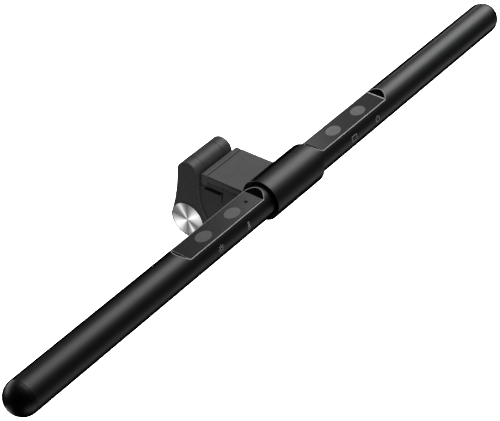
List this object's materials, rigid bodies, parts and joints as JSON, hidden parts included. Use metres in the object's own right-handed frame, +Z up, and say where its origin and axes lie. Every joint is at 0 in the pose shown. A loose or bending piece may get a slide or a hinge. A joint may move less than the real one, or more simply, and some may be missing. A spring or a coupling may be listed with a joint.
{
  "type": "monitor light bar",
  "caption": "Round black light bar held in a collar on a clip that rests on a monitor's top edge, with touch panels and a hinged counterweight arm with bright round discs.",
  "frame": {"origin": "middle of the clip's rest face, the pad that stands on a monitor's top edge", "axes": "+X along the bar, -Y towards the user, +Z up"},
  "size_m": [0.45, 0.0798, 0.0649],
  "materials": {
    "tube_black": "satin anodised aluminium, fine bead-blasted grain",
    "collar_black": "satin anodised aluminium, cut and chamfered ends",
    "cap_black": "moulded black plastic, satin gloss",
    "panel_black": "matte soft-touch black plastic",
    "pad_grey": "grey printed touch field, matte",
    "sensor_smoke": "smoked glossy window",
    "lens_white": "milky opal diffuser",
    "reflector_white": "white reflective moulding",
    "board_green": "circuit board with solder mask",
    "board_white": "white LED circuit board",
    "led_phosphor": "LED package with yellow phosphor",
    "copper": "bare copper",
    "inlet_steel": "drawn stainless shell",
    "inlet_black": "black contact tongue",
    "bush_black": "black acetal friction bush",
    "cast_black": "cast zinc, fine matte black powder coat",
    "cover_black": "moulded black cover, very fine texture",
    "silicone_black": "matte black silicone",
    "steel": "turned steel",
    "screw_steel": "black zinc screws",
    "spring_steel": "drawn spring wire",
    "spun_aluminium": "face-turned bright aluminium with circular grooves"
  },
  "bodies": {
    "holder": {"collar": "collar_black", "collar_bushes": "bush_black", "clip_body": "cast_black", "block_housing": "cover_black", "top_plate": "cover_black", "rear_cap": "cover_black", "rest_pad": "silicone_black", "hook_pad": "silicone_black", "tilt_stop_pin": "steel", "collar_screws": "screw_steel", "body_screws": "screw_steel", "hinge_spring": "spring_steel", "hinge_bushes": "bush_black"},
    "lamp": {"light_tube": "tube_black", "end_cap_left": "cap_black", "end_cap_right": "cap_black", "touch_panel_left": "panel_black", "touch_panel_right": "panel_black", "touch_pads_left": "pad_grey", "touch_pads_right": "pad_grey", "light_sensor": "sensor_smoke", "diffuser_left": "lens_white", "diffuser_right": "lens_white", "reflector_left": "reflector_white", "reflector_right": "reflector_white", "touch_board_left": "board_green", "touch_board_right": "board_green", "driver_board": "board_green", "led_strip_left": "board_white", "led_strip_right": "board_white", "leds_left": "led_phosphor", "leds_right": "led_phosphor", "touch_electrodes_left": "copper", "touch_electrodes_right": "copper", "usb_socket": "inlet_steel", "usb_tongue": "inlet_black"},
    "arm": {"arm_shell": "cast_black", "arm_jaw": "cast_black", "jaw_pad": "silicone_black", "counterweight": "steel", "disc_left": "spun_aluminium", "disc_right": "spun_aluminium", "hinge_pin": "steel", "hinge_plug": "cast_black", "jaw_screws": "screw_steel"}
  },
  "joints": [
    {"name": "lamp_tilt", "type": "hinge", "parent": "holder", "child": "lamp", "pos_m": [0, -0.038, 0.012], "axis": [1, 0, 0], "range_deg": [-25, 25]},
    {"name": "arm_open", "type": "hinge", "parent": "holder", "child": "arm", "pos_m": [0, 0.017, 0.0038], "axis": [1, 0, 0], "range_deg": [0, 65], "stiffness_Nm_per_rad": 0.02, "springref_deg": -45.84}
  ]
}
